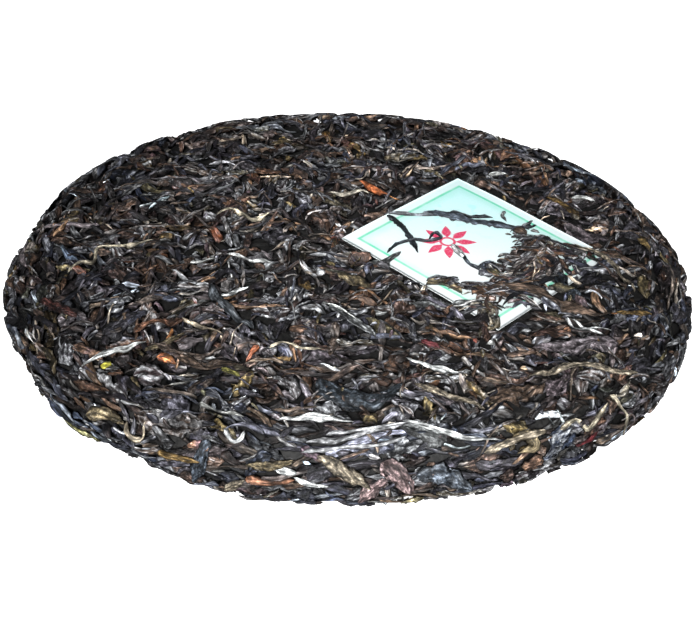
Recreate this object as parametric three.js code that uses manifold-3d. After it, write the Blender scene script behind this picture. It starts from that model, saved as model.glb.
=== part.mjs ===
// A pressed round cake of raw pu erh tea, with an oblong paper ticket half buried in its face.
// Units are millimetres, +Z is up, and the origin is the centre of the base. The front, where
// one of the ticket's corners points, is -Y.
import * as THREE from "three";
import { mergeVertices } from "three/addons/utils/BufferGeometryUtils.js";
import Module from "manifold-3d";

const wasm = await Module();
wasm.setup();

// The cake's outline, over the tips of its leaves
const CAKE_RADIUS = 100;
const CAKE_HEIGHT = 22;
const CROWN_DROP = 2.2; // how far the face falls from its centre to the shoulder
const SHOULDER_REACH = 15; // the rounded shoulder's width, seen from above
const SHOULDER_FALL = 11.5;
const FOOT_RADIUS = 3.5;
const HOLLOW_RADIUS = 27; // the dent that the knot of the pressing cloth leaves underneath
const HOLLOW_DEPTH = 8;
const CORE_INSET = 1.6; // how far the solid core lies below the leaf tips
const CORE_SIDES = 40;

// The paper ticket, pressed a little out of square: its sides and the way each one runs
const TICKET_SHORT = 56;
const TICKET_LONG = 63.5;
const TICKET_CENTRE = [37.3, 2.3];
const SHORT_TURN = THREE.MathUtils.degToRad(50.5);
const LONG_TURN = THREE.MathUtils.degToRad(-46.5);
const TICKET_THICKNESS = 0.35;
const TICKET_DEPTH = 0.95; // from the leaf tips down to the middle of the paper
const TICKET_WAVE = 0.12;
const TICKET_CELLS = [9, 11];
const CLEARANCE = 0.3; // between the paper and what touches it

// The leaves that show as relief: how many, how long, how wide and how proud
const FACE_LEAVES = { count: 80, length: [22, 44], width: [5, 9], rise: [-0.2, 0.8] };
const WALL_LEAVES = { count: 40, length: [20, 40], width: [5, 8], rise: [-0.2, 0.5] };
const BASE_LEAVES = { count: 28, length: [24, 44], width: [6, 10], rise: [0.5, 0.9] };
const LEAF_EDGE = -1.75; // height of a leaf's edges against the leaf tips, just inside the core
const LIFTED_EDGE = -0.35; // the same, where a leaf lies over the paper
const LEAF_ROOT = -2.6; // height of its hidden underside, inside the core
const GOLDEN_ANGLE = Math.PI * (3 - Math.sqrt(5));

// One broad leaf lies flat under the cake, and is the flat face that the cake rests on.
const RESTING_LEAF = { centre: [0, -64], length: 40, width: 15, rise: 1.2 };

// Leaves that lie over the ticket, as routes across the face, each with its width and rise. First come
// the thin stems over the bare paper, and then the broad leaves that bury its right and lower corners.
const TICKET_LEAVES = [
  { route: [[2, 24], [13, 20], [27, 19], [41, 16], [55, 13.5], [66, 10]], width: 3.4, rise: 0.9 },
  { route: [[8, 25], [13, 16], [17, 6], [21, -2.5]], width: 2.4, rise: 0.8 },
  { route: [[11, -3.2], [14, 1], [19, 3.2], [24, 4], [27, 7]], width: 2, rise: 1.0 },
  { route: [[-2, -17], [5, -13], [10, -8], [13.5, -4.5]], width: 3.4, rise: 0.9 },
  { route: [[50, -16], [41, -10], [35, -4], [31, 2]], width: 2.8, rise: 1.0 },
  { route: [[0, -36], [14, -32.5], [27, -29], [43, -24], [60, -27], [80, -36]], width: 7, rise: 1.3 },
  { route: [[12, -32], [20, -26], [30, -21], [42, -18]], width: 7, rise: 1.1 },
  { route: [[84, 6], [70, 8], [58, 11], [47, 13]], width: 8, rise: 1.1 },
  { route: [[85, -4], [71, -1], [58, 4], [46, 5]], width: 8.5, rise: 0.9 },
  { route: [[83, -13], [70, -11], [57, -5], [44, -3]], width: 8.5, rise: 1.2 },
  { route: [[82, -24], [68, -19], [56, -14], [42, -10]], width: 9, rise: 1.0 },
  { route: [[76, -36], [64, -30], [52, -22], [39, -16]], width: 8, rise: 1.2 },
  { route: [[26, -52], [33, -45], [38, -38], [39, -30]], width: 6, rise: 1.2 },
  { route: [[66, -42], [58, -35], [50, -30], [38, -27]], width: 7, rise: 1.0 },
];
// The part of the face where the paper lies bare
const BARE_PAPER = [[-4, 3.4], [33.2, 48.4], [72, 6], [56.7, 14.6], [50.9, 17.9], [46, 11.3], [45.2, 6.4],
  [47.5, 1.2], [43, -2.1], [41.2, -7.5], [34.7, -13.7], [28.9, -17], [21.7, -20.6]];

// A seeded source of numbers from 0 to 1
function seeded(seed) {
  let state = seed >>> 0;
  return () => {
    state = (state + 0x6d2b79f5) >>> 0;
    let t = Math.imul(state ^ (state >>> 15), 1 | state);
    t = (t + Math.imul(t ^ (t >>> 7), 61 | t)) ^ t;
    return ((t ^ (t >>> 14)) >>> 0) / 4294967296;
  };
}

const draw = seeded(357);
const between = ([low, high]) => low + (high - low) * draw();

// Half of the cake's section, from the centre of the face round to the centre of the hollow.
function sectionPoints(faceSteps, shoulderSteps, footSteps, baseSteps, hollowSteps) {
  const points = [];
  const shoulderRadius = CAKE_RADIUS - SHOULDER_REACH;
  const shoulderTop = CAKE_HEIGHT - CROWN_DROP;
  for (let i = 0; i < faceSteps; i++) {
    const r = (shoulderRadius * i) / faceSteps;
    points.push([r, CAKE_HEIGHT - CROWN_DROP * (r / shoulderRadius) ** 2]);
  }
  for (let i = 0; i <= shoulderSteps; i++) {
    const turn = ((Math.PI / 2) * i) / shoulderSteps;
    points.push([
      shoulderRadius + SHOULDER_REACH * Math.sin(turn),
      shoulderTop - SHOULDER_FALL * (1 - Math.cos(turn)),
    ]);
  }
  for (let i = 0; i <= footSteps; i++) {
    const turn = ((Math.PI / 2) * i) / footSteps;
    points.push([
      CAKE_RADIUS - FOOT_RADIUS * (1 - Math.cos(turn)),
      FOOT_RADIUS * (1 - Math.sin(turn)),
    ]);
  }
  for (let i = 1; i <= baseSteps; i++) {
    const share = i / baseSteps;
    points.push([CAKE_RADIUS - FOOT_RADIUS + (HOLLOW_RADIUS - CAKE_RADIUS + FOOT_RADIUS) * share, 0]);
  }
  for (let i = 1; i <= hollowSteps; i++) {
    const r = HOLLOW_RADIUS * (1 - i / hollowSteps);
    points.push([r, HOLLOW_DEPTH * (0.5 + 0.5 * Math.cos((Math.PI * r) / HOLLOW_RADIUS))]);
  }
  return points;
}

// The section with its outward normals and the distance along it from its first point.
function measured(points) {
  let along = 0;
  return points.map(([r, z], i) => {
    const [r0, z0] = points[Math.max(i - 1, 0)];
    const [r1, z1] = points[Math.min(i + 1, points.length - 1)];
    const length = Math.hypot(r1 - r0, z1 - z0);
    along += i ? Math.hypot(r - r0, z - z0) : 0;
    const atAxis = r < 1e-6;
    return {
      along,
      r,
      z,
      normalR: atAxis ? 0 : -(z1 - z0) / length,
      normalZ: atAxis ? Math.sign(r1 - r0) : (r1 - r0) / length,
    };
  });
}

const FINE = measured(sectionPoints(60, 40, 14, 60, 40));
const WHOLE_SECTION = FINE.at(-1).along;
const FOOT_ALONG = FINE.find((s) => s.z <= 1e-9).along;
const SHOULDER_ALONG = FINE.find((s) => s.r >= CAKE_RADIUS - SHOULDER_REACH).along;

// The point of the outline that lies this far along the section.
function sectionAt(along) {
  const at = THREE.MathUtils.clamp(along, 0, WHOLE_SECTION);
  const next = Math.max(1, FINE.findIndex((s) => s.along >= at));
  const a = FINE[next - 1];
  const b = FINE[next];
  const share = (at - a.along) / (b.along - a.along || 1);
  const mix = (key) => a[key] + (b[key] - a[key]) * share;
  return { r: mix("r"), z: mix("z"), normalR: mix("normalR"), normalZ: mix("normalZ") };
}

// Lays a flat drawing over the cake: [p, q] is a place on the drawing, whose middle is the centre of the
// face or of the base, and height is measured outwards from the leaf tips.
function laid(p, q, height, side = "face") {
  const reach = Math.hypot(p, q);
  const at = sectionAt(side === "face" ? reach : WHOLE_SECTION - reach);
  const r = at.r + at.normalR * height;
  const share = reach > 1e-6 ? r / reach : 0;
  return [p * share, q * share, at.z + at.normalZ * height];
}

// A closed solid from points and triangles.
function solid(points, triangles) {
  const geometry = new THREE.BufferGeometry();
  geometry.setAttribute("position", new THREE.Float32BufferAttribute(points.flat(), 3));
  geometry.setIndex(triangles.flat());
  return solidOf(geometry);
}

function solidOf(geometry) {
  const bare = geometry.clone();
  bare.deleteAttribute("normal");
  bare.deleteAttribute("uv");
  const merged = mergeVertices(bare, 1e-4);
  return new wasm.Manifold(
    new wasm.Mesh({
      numProp: 3,
      vertProperties: new Float32Array(merged.attributes.position.array),
      triVerts: new Uint32Array(merged.index.array),
    }),
  );
}

function geometryOf(manifold) {
  const mesh = manifold.getMesh();
  const geometry = new THREE.BufferGeometry();
  geometry.setAttribute("position", new THREE.BufferAttribute(mesh.vertProperties, 3));
  geometry.setIndex(new THREE.BufferAttribute(mesh.triVerts, 1));
  return geometry;
}

// The compressed body of the cake, turned about its axis, with the hollow in its base.
function core() {
  const inset = measured(sectionPoints(3, 4, 1, 2, 4)).map(
    ({ r, z, normalR, normalZ }) =>
      new THREE.Vector2(Math.max(r - normalR * CORE_INSET, 0), z - normalZ * CORE_INSET),
  );
  inset[0].x = 0;
  inset.at(-1).x = 0;
  return solidOf(new THREE.LatheGeometry(inset.reverse(), CORE_SIDES).rotateX(Math.PI / 2));
}

// Sections across a leaf, as [share of half its width, height]. A height of 1 is its full rise.
const FOLDED = [[-1, 0], [-0.45, 1], [0.1, 0.55], [0.6, 0.95], [1, 0]];
const TWISTED = [[-1, 0], [-0.1, 1], [1, 0]];

// One leaf as a thin closed strip along a route, tapered to a point at each end and rooted in the core.
function leaf(given) {
  const { route, width, rise, edge = LEAF_EDGE, section = TWISTED } = given;
  const { twist = 0, steps = 3, side = "face" } = given;
  const curve = new THREE.CatmullRomCurve3(route.map(([p, q]) => new THREE.Vector3(p, q, 0)));
  const points = [];
  const ringSize = section.length + 1;
  const place = (at, across, normal, height) =>
    laid(at.x + normal.x * across, at.y + normal.y * across, height, side);
  for (let i = 0; i <= steps; i++) {
    const t = i / steps;
    const at = curve.getPointAt(t);
    const tangent = curve.getTangentAt(t);
    const normal = new THREE.Vector2(-tangent.y, tangent.x);
    if (i === 0 || i === steps) {
      points.push(place(at, 0, normal, edge));
      continue;
    }
    const half = (width / 2) * Math.sin(Math.PI * t) ** 0.55;
    const proud = (rise - edge) * Math.sin(Math.PI * t) ** 0.4;
    for (const [across, height] of section) {
      const lean = height > 0 ? twist * Math.sin(2 * Math.PI * t) : 0;
      const share = THREE.MathUtils.clamp(across + lean, -1, 1);
      points.push(place(at, half * share, normal, edge + proud * height));
    }
    points.push(place(at, 0, normal, LEAF_ROOT));
  }
  const ring = (i, j) => 1 + (i - 1) * ringSize + (j % ringSize);
  const last = points.length - 1;
  const triangles = [];
  for (let j = 0; j < ringSize; j++) {
    triangles.push([0, ring(1, j), ring(1, j + 1)], [last, ring(steps - 1, j + 1), ring(steps - 1, j)]);
    for (let i = 1; i < steps - 1; i++) {
      triangles.push([ring(i, j), ring(i + 1, j), ring(i + 1, j + 1)]);
      triangles.push([ring(i, j), ring(i + 1, j + 1), ring(i, j + 1)]);
    }
  }
  return solid(points, side === "face" ? triangles : triangles.map(([a, b, c]) => [a, c, b]));
}

// A gently bent route, this long, through the point [p, q].
function bentRoute(p, q, heading, length, bend) {
  const pieces = 4;
  const route = [];
  let x = 0;
  let y = 0;
  for (let i = 0; i <= pieces; i++) {
    const turned = heading + bend * (i / pieces - 0.5);
    route.push([x, y]);
    x += (length / pieces) * Math.cos(turned);
    y += (length / pieces) * Math.sin(turned);
  }
  const [midX, midY] = route[pieces / 2];
  return route.map(([a, b]) => [a - midX + p, b - midY + q]);
}

function inside([x, y], outline) {
  let odd = false;
  outline.forEach(([ax, ay], i) => {
    const [bx, by] = outline.at(i - 1);
    if (ay > y !== by > y && x < ((bx - ax) * (y - ay)) / (by - ay) + ax) odd = !odd;
  });
  return odd;
}

// Leaves spread evenly between two distances from the centre by the golden angle. One that would cross
// the bare paper or leave the outline is turned, then shortened, and at last skipped.
function spreadLeaves({ count, length, width, rise }, nearest, farthest, side, along) {
  const leaves = [];
  for (let k = 0; k < count; k++) {
    const share = (k + 0.5) / count;
    const reach = Math.sqrt(nearest ** 2 + (farthest ** 2 - nearest ** 2) * share) + between([-2, 2]);
    const angle = k * GOLDEN_ANGLE + between([-0.08, 0.08]);
    const wanted = between(length);
    const free = between([-Math.PI / 2, Math.PI / 2]);
    const made = {
      width: between(width),
      rise: between(rise),
      twist: between([-0.6, 0.6]),
      section: draw() < 0.2 ? FOLDED : TWISTED,
      side,
    };
    const bend = between([-1.1, 1.1]);
    for (let attempt = 0; attempt < 10; attempt++) {
      const heading = angle + Math.PI / 2 + free * along(reach) + attempt * 0.35;
      const route = bentRoute(
        reach * Math.cos(angle), reach * Math.sin(angle), heading, wanted * (1 - 0.06 * attempt), bend);
      const fits = route.every(
        (point) => Math.hypot(...point) < farthest + 1 && (side !== "face" || !inside(point, BARE_PAPER)));
      if (fits) {
        leaves.push({ ...made, route });
        break;
      }
    }
  }
  return leaves;
}

// The ticket's place at the shares u and v of its short and long sides.
function ticketPlace(u, v, margin = 0) {
  const a = (u - 0.5) * (TICKET_SHORT + 2 * margin);
  const b = (v - 0.5) * (TICKET_LONG + 2 * margin);
  const [x, y] = TICKET_CENTRE;
  return [
    x + a * Math.cos(SHORT_TURN) + b * Math.cos(LONG_TURN),
    y + a * Math.sin(SHORT_TURN) + b * Math.sin(LONG_TURN),
  ];
}

function ticketHeight(u, v) {
  return -TICKET_DEPTH + TICKET_WAVE * Math.sin(7.3 * u + 1.9 * v) * Math.cos(8.1 * v - 2.2 * u);
}

// A wavy slab in the ticket's shape, its faces these distances above and below the paper's middle.
function ticketSlab(above, below, margin) {
  const [cellsU, cellsV] = TICKET_CELLS;
  const columns = cellsV + 1;
  const points = [];
  for (const offset of [above, -below]) {
    for (let i = 0; i <= cellsU; i++) {
      for (let j = 0; j <= cellsV; j++) {
        const [p, q] = ticketPlace(i / cellsU, j / cellsV, margin);
        points.push(laid(p, q, ticketHeight(i / cellsU, j / cellsV) + offset));
      }
    }
  }
  const under = (cellsU + 1) * columns;
  const at = (i, j) => i * columns + j;
  const triangles = [];
  for (let i = 0; i < cellsU; i++) {
    for (let j = 0; j < cellsV; j++) {
      const [a, b, c, d] = [at(i, j), at(i + 1, j), at(i + 1, j + 1), at(i, j + 1)];
      triangles.push([a, c, b], [a, d, c]);
      triangles.push([under + a, under + b, under + c], [under + a, under + c, under + d]);
    }
  }
  const rim = [];
  for (let i = 0; i < cellsU; i++) rim.push(at(i, 0));
  for (let j = 0; j < cellsV; j++) rim.push(at(cellsU, j));
  for (let i = cellsU; i > 0; i--) rim.push(at(i, cellsV));
  for (let j = cellsV; j > 0; j--) rim.push(at(0, j));
  rim.forEach((a, i) => {
    const b = rim[(i + 1) % rim.length];
    triangles.push([a, b, under + b], [a, under + b, under + a]);
  });
  return solid(points, triangles);
}

function largest(manifold) {
  return manifold.decompose().reduce((a, b) => (b.volume() > a.volume() ? b : a));
}

// The whole cake: the core, the leaves fused on it, room for the ticket, and a base cut level.
function cake() {
  const rimward = (reach) => THREE.MathUtils.clamp((SHOULDER_ALONG + 8 - reach) / 40, 0.2, 1);
  const leaves = [
    ...spreadLeaves(FACE_LEAVES, 3, SHOULDER_ALONG + 3, "face", rimward),
    ...spreadLeaves(WALL_LEAVES, SHOULDER_ALONG + 5, FOOT_ALONG - 3, "face", () => 0.25),
    ...spreadLeaves(BASE_LEAVES, HOLLOW_RADIUS + 4, WHOLE_SECTION - FOOT_ALONG - 4, "base", () => 1),
    ...TICKET_LEAVES.map((given) => ({ ...given, edge: LIFTED_EDGE, steps: given.route.length + 1 })),
  ];
  let relief = leaf(leaves[0]);
  for (const given of leaves.slice(1)) relief = relief.add(leaf(given));
  const { centre, length, width, rise } = RESTING_LEAF;
  const route = bentRoute(...centre, 0, length, 0);
  const flatLeaf = leaf({ route, width, rise, section: FOLDED, side: "base" });
  const room = ticketSlab(TICKET_THICKNESS / 2 + CLEARANCE, CORE_INSET, CLEARANCE);
  const aboveFloor = new THREE.BoxGeometry(3 * CAKE_RADIUS, 3 * CAKE_RADIUS, 4 * CAKE_HEIGHT);
  aboveFloor.translate(0, 0, 2 * CAKE_HEIGHT);
  return largest(core().add(relief.add(flatLeaf).subtract(room)).intersect(solidOf(aboveFloor)));
}

function ticket() {
  return ticketSlab(TICKET_THICKNESS / 2, TICKET_THICKNESS / 2, 0);
}

function node(name, manifold, colour, roughness) {
  const material = new THREE.MeshStandardMaterial({ color: colour, roughness, metalness: 0 });
  material.flatShading = true;
  const mesh = new THREE.Mesh(geometryOf(manifold), material);
  mesh.name = name;
  return mesh;
}

const teaCake = new THREE.Group();
teaCake.add(node("tea_cake", cake(), 0x3a3430, 0.6));
teaCake.add(node("ticket", ticket(), 0xe6f7f1, 0.8));

export default teaCake;
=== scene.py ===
import math

import bpy
import numpy as np
from mathutils import Euler, Matrix, Vector


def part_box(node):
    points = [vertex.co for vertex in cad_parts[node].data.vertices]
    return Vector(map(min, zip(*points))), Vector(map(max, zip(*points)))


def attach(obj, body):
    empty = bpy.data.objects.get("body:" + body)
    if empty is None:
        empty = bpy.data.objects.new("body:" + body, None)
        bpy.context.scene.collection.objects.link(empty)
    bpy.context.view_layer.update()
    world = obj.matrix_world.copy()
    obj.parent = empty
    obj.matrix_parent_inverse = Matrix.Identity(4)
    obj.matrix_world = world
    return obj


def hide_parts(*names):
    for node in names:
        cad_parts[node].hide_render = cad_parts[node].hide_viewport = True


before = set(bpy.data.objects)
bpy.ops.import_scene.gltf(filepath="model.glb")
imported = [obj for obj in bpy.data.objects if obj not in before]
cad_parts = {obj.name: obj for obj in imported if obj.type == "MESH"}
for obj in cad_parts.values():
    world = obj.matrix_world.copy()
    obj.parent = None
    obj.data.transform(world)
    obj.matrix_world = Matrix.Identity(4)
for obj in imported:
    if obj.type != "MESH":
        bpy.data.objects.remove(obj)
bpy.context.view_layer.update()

# A pressed cake of pu erh tea with a paper ticket pressed into its face.
#
# The leaves are laid one by one on a fine height grid, so that each lies on what is already there. A first
# heap is pressed to the round figure of the cake, the ticket is laid on it, and a looser layer lies on top.
# Everything is placed in a flat drawing of the skin: p and q are millimetres from the middle of the face,
# measured along the skin out over the shoulder and down the wall, and the height is measured outward from
# the leaf tips. The underside has a drawing of its own, from the middle of the base outward. Lengths are in
# millimetres until a mesh is made.

MM = 0.001
TAU = 2 * math.pi
SEED = 357

cake_low, cake_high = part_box("tea_cake")
RADIUS = round((cake_high.x - cake_low.x) / 2 / MM)
HEIGHT = math.floor(cake_high.z / MM)
CROWN_DROP = 2.2
SHOULDER_REACH = 15
SHOULDER_FALL = 11.5
FOOT_RADIUS = 3.5
HOLLOW_RADIUS = 27
HOLLOW_DEPTH = 8
FLOOR_GAP = 0.02

# The ticket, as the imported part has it: its sides, the way each one runs, and its height under the tips.
TICKET_SHORT = 56
TICKET_LONG = 63.5
TICKET_CENTRE = (37.3, 2.3)
SHORT_TURN = math.radians(50.5)
LONG_TURN = math.radians(-46.5)
TICKET_DEPTH = 0.95
TICKET_WAVE = 0.12
PAPER = 0.22

# The heap: the grid's cell, how far each drawing reaches, how hard the lower heap and the leaves on it are
# pressed, and how deep the core lies.
CELL = 0.5
FACE_REACH = 118
BASE_REACH = 100
PRESS_BLUR = 5.0
LOWER_TOP = -1.25
LOWER_CAP = 0.55
TICKET_PUSH = 1.5
LUMP_HEIGHT = 0.3
UPPER_TOP = 0.25
HIGHEST_TIP = 1.3
CORE_DEPTH = 2.4

# How many leaves each layer gets: the lower heap, those on the paper with their size, the broad ones, those
# over the face and wall with their size and the spacing of their points, and those of the underside.
LOWER_LEAVES = 2700
PAPER_LAYERS = [(900, 0.55), (800, 0.9), (500, 0.4)]
BROAD_LEAVES = 190
UPPER_LAYERS = [(1300, 1.0, 1.0), (1250, 0.6, 0.9), (1050, 0.35, 0.8)]
BASE_LEAVES = 1400

# How far from the ticket's centre and edge the small leaves on it go, and where the leaves get longer.
PAPER_REACH = 46
PAPER_MARGIN = 3
LONGER_FROM = 92
LONGER_BY = 1.25

rng = np.random.default_rng(SEED)


def eased(value, low, high):
    """How far a value has come from low to high, as a share with soft ends."""
    share = np.clip((value - low) / (high - low), 0, 1)
    return share * share * (3 - 2 * share)


def run_along(x, y):
    """How far along a line each of its points lies."""
    return np.concatenate([[0], np.cumsum(np.hypot(np.diff(x), np.diff(y)))])


def skin_section():
    """Radius, height and outward direction of the skin, every quarter millimetre from face to base."""
    quarter = np.linspace(0, math.pi / 2, 40)
    face = np.linspace(0, RADIUS - SHOULDER_REACH, 60)
    base = np.linspace(RADIUS - FOOT_RADIUS, 0, 160)
    shoulder_top = HEIGHT - CROWN_DROP
    bell = HOLLOW_DEPTH * (1 + np.cos(math.pi * np.minimum(base / HOLLOW_RADIUS, 1))) / 2
    radius = np.concatenate([
        face,
        RADIUS - SHOULDER_REACH * (1 - np.sin(quarter[1:])),
        RADIUS - FOOT_RADIUS * (1 - np.cos(quarter)),
        base[1:],
    ])
    height = np.concatenate([
        HEIGHT - CROWN_DROP * (face / face[-1]) ** 2,
        shoulder_top - SHOULDER_FALL * (1 - np.cos(quarter[1:])),
        FOOT_RADIUS * (1 - np.sin(quarter)),
        bell[1:],
    ])
    along = run_along(radius, height)
    even = np.arange(0, along[-1], 0.25)
    radius, height = np.interp(even, along, radius), np.interp(even, along, height)
    out_r, out_z = -np.gradient(height), np.gradient(radius)
    size = np.hypot(out_r, out_z)
    return even, radius, height, out_r / size, out_z / size


SKIN = skin_section()
SKIN_LENGTH = SKIN[0][-1]

# Where the rim isn't round: the angle of each bump or dent and its width in degrees, and its height.
RIM_BUMPS = [(168, 10, -2.2), (182, 8, -0.8), (206, 7, -1.2), (223, 9, 1.1), (251, 9, 1.2)]
BUMPS_FROM = 84
BUMPS_FULL = RADIUS - 4


def out_of_round(radius, turn):
    """The radius with the bumps and dents of the rim, which fade out towards the middle."""
    turn = np.degrees(turn) % 360
    uneven = sum(size * np.exp(-((turn - at) / wide) ** 2) for at, wide, size in RIM_BUMPS)
    return radius + uneven * eased(radius, BUMPS_FROM, BUMPS_FULL)


def on_cake(p, q, height, from_base=False):
    """Places in space of points of a flat drawing, at a height outward from the leaf tips."""
    reach = np.hypot(p, q)
    along = SKIN_LENGTH - reach if from_base else reach
    radius, level, out_r, out_z = (np.interp(along, SKIN[0], row) for row in SKIN[1:])
    spread = (out_of_round(radius, np.arctan2(q, p)) + height * out_r) / np.maximum(reach, 1e-6)
    return np.stack([p * spread, q * spread, np.maximum(level + height * out_z, FLOOR_GAP)], -1)


TICKET_AXES = np.array([
    [math.cos(SHORT_TURN), math.cos(LONG_TURN)],
    [math.sin(SHORT_TURN), math.sin(LONG_TURN)],
])


def on_ticket(a, b):
    """Drawing places of points of the ticket, a along its short side and b along its long side."""
    (a_p, b_p), (a_q, b_q) = TICKET_AXES
    return TICKET_CENTRE[0] + a * a_p + b * b_p, TICKET_CENTRE[1] + a * a_q + b * b_q


def from_ticket(p, q):
    """The opposite of on_ticket."""
    (p_a, q_a), (p_b, q_b) = np.linalg.inv(TICKET_AXES)
    x, y = p - TICKET_CENTRE[0], q - TICKET_CENTRE[1]
    return x * p_a + y * q_a, x * p_b + y * q_b


def ticket_height(a, b):
    """Height of the paper's middle: pressed in just below the leaf tips, with a slight wave."""
    u, v = a / TICKET_SHORT + 0.5, b / TICKET_LONG + 0.5
    return -TICKET_DEPTH + TICKET_WAVE * np.sin(7.3 * u + 1.9 * v) * np.cos(8.1 * v - 2.2 * u)


def inside_ticket(p, q):
    """How far inside the ticket's edge points lie, below nothing outside it."""
    a, b = from_ticket(p, q)
    return np.minimum(TICKET_SHORT / 2 - np.abs(a), TICKET_LONG / 2 - np.abs(b))


# The part of the paper that no leaf lies on, and the gaps through the leaves on the rest of it.
BARE_PAPER = [
    (-4, 3.5), (33, 48.5), (73.5, 5), (69.5, 4), (63, 8), (56.5, 14), (51, 18), (46, 11.5),
    (45, 6.5), (47.5, 1), (43, -2), (41, -7.5), (34.5, -13.5), (29, -17), (21.5, -20.5),
]
PAPER_GAPS = [
    [(44.5, -32), (54, -31.5), (51.5, -37.5), (43.5, -46.5), (39, -45.5), (40.5, -41.5), (43, -38)],
    [(23, -22), (27.5, -24), (35.5, -29.5), (30, -32.5), (25.5, -28.5)],
    [(61, -13), (62.5, -15), (64.5, -15.5), (61.5, -20.5), (60.5, -16.5)],
    [(69.5, -3), (70.5, -3), (70, -6.5), (69, -7)],
    [(34.5, -15.5), (37.5, -15.5), (40.5, -18), (35, -19.5)],
    [(33.5, -37), (38, -35), (37, -37), (34, -39)],
    [(57, -24), (60.5, -23), (60, -25)],
]


def in_outline(p, q, outline):
    """Whether points lie inside a closed outline, by counting the edges to one side."""
    inside = np.zeros(np.shape(p), bool)
    for (p0, q0), (p1, q1) in zip(outline, outline[1:] + outline[:1]):
        crosses = (q0 > q) != (q1 > q)
        inside ^= crosses & (p < (p1 - p0) * (q - q0) / ((q1 - q0) or 1e-9) + p0)
    return inside


def kept_bare(p, q):
    return np.any([in_outline(p, q, outline) for outline in [BARE_PAPER] + PAPER_GAPS], 0)


def between(grid, x, y):
    """The values of a grid at places between its points, counted in rows and columns."""
    i = np.minimum(x.astype(int), grid.shape[-2] - 2)
    j = np.minimum(y.astype(int), grid.shape[-1] - 2)
    u, v = x - i, y - j
    low = grid[..., i, j] * (1 - v) + grid[..., i, j + 1] * v
    high = grid[..., i + 1, j] * (1 - v) + grid[..., i + 1, j + 1] * v
    return low * (1 - u) + high * u


class Pile:
    """How high the leaves lie so far over one flat drawing of the cake."""

    def __init__(self, reach):
        self.reach = reach
        side = np.arange(-reach, reach + CELL, CELL)
        self.p, self.q = np.meshgrid(side, side, indexing="ij")
        self.top = np.zeros(self.p.shape)

    def cells(self, p, q):
        last = len(self.top) - 1
        return tuple(np.clip(np.rint((x + self.reach) / CELL).astype(int), 0, last) for x in (p, q))

    def height(self, p, q):
        return self.top[self.cells(p, q)]

    def cover(self, p, q, height):
        np.maximum.at(self.top, self.cells(p, q), height)

    def smoothed(self, size):
        """The top's mean over about this many millimetres, counting only the drawing's own disc."""
        disc = (np.hypot(self.p, self.q) <= self.reach - 1).astype(float)
        wave = np.fft.fftfreq(len(self.top), CELL)
        keep = np.exp(-2 * (math.pi * size) ** 2 * (wave[:, None] ** 2 + wave[None, :] ** 2))

        def blur(field):
            return np.fft.ifft2(np.fft.fft2(field) * keep).real

        return blur(self.top * disc) / np.maximum(blur(disc), 1e-3)

    def read(self, field, p, q):
        """A field of the pile's grid at any places of the drawing."""
        return between(field, *((np.clip(x, -self.reach, self.reach) + self.reach) / CELL for x in (p, q)))


def patchwork(size):
    """A soft random field over a drawing, about one in size, its patches this many millimetres wide."""
    waves = rng.normal(0, 3.5 / size, (12, 2))
    phases = rng.uniform(0, TAU, 12)
    return lambda p, q: sum(np.sin(a * p + b * q + c) for (a, b), c in zip(waves, phases)) / math.sqrt(6)


BUNDLES = patchwork(34)
TONES = patchwork(13)
WARMTH = patchwork(16)
LUMPS = patchwork(15)


def wander(t, waves, count=3):
    """A soft random line of size about one over t from 0 to 1."""
    total = np.zeros_like(t)
    for k in range(1, count + 1):
        total = total + rng.normal(0, 1 / k) * np.sin(TAU * waves * k * t / count + rng.uniform(0, TAU))
    return total


def taper(t, start, end):
    """Widths along a leaf that narrows over its first and last share."""
    return np.clip(t / start, 0, 1) ** 0.6 * np.clip((1 - t) / end, 0, 1) ** 0.7


# Each form of leaf below returns half the width at each place along the leaf, and the heights of the points
# across its top, whose places are shares of that half width.

def rope(t, length, width, thick, across):
    """A leaf rolled up and twisted: two to four strands wound round each other, seen from above."""
    strands = rng.integers(2, 5)
    pitch = rng.uniform(8, 24) * rng.choice([-1, 1])
    turn = TAU * t * length / pitch + 0.8 * wander(t, length / 6) + rng.uniform(0, TAU)
    turn = turn[:, None, None] + TAU * np.arange(strands) / strands
    away = across[:, None] - 0.5 * np.sin(turn)
    body = np.sqrt(np.clip(0.34 - away ** 2, 0, 1)) + 0.4 * np.cos(turn)
    strand = np.where(np.abs(away) < 0.58, body, -0.6)
    ends = taper(t, rng.uniform(0.05, 0.25), rng.uniform(0.08, 0.4))
    ends = ends * (1 + 0.18 * wander(t, length / 4)) + 0.1
    tall = (thick * np.clip(ends, 0.1, 1.2) ** 0.7)[:, None]
    return width / 2 * ends, tall * (0.5 + 0.6 * strand.max(-1)) + rng.normal(0, 0.04, (len(t), len(across)))


def stem(t, length, width, thick, across):
    """A thin stalk or a tightly twisted leaf, knotted here and there."""
    ends = (taper(t, 0.05, rng.uniform(0.08, 0.3)) + 0.12) * (1 + 0.22 * wander(t, length / 3))
    wind = rng.normal(0, 0.12) * length * t[:, None] + rng.uniform(0, 1)
    ridge = 1 + 0.25 * np.sin(TAU * (0.6 * across + wind))
    body = np.sqrt(np.clip(1 - 0.9 * across ** 2, 0, 1))
    return width / 2 * ends, (thick * np.clip(ends, 0.1, 1.3))[:, None] * body * ridge


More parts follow.
